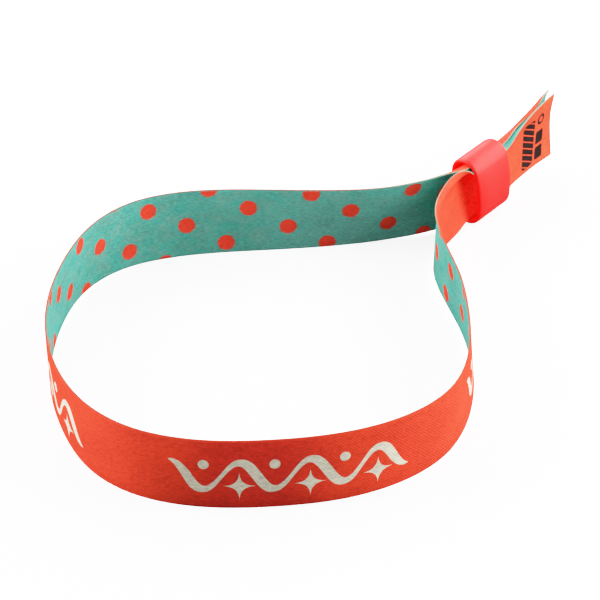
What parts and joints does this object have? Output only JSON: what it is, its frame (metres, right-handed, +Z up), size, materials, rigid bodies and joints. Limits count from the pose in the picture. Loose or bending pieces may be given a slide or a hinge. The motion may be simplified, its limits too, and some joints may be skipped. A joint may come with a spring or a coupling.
{
  "type": "wristband",
  "caption": "Festival wristband: a printed fabric strap closed to a loop by a plastic slider that both of its ends run through, with short free tails.",
  "frame": {"origin": "middle of the wrist opening, on the surface that the strap's lower edge stands on", "axes": "+Z up through the wrist opening, +X to the right and +Y away from the viewer who faces the front of the loop; the tails point to +X and +Y"},
  "size_m": [0.1057, 0.1285, 0.0175],
  "materials": {
    "strap_fabric": "satin polyester, coral outside and dotted teal inside",
    "slider_plastic": "satin, slightly translucent"
  },
  "bodies": {
    "root": {"strap": "strap_fabric", "slider": "slider_plastic"}
  },
  "joints": []
}
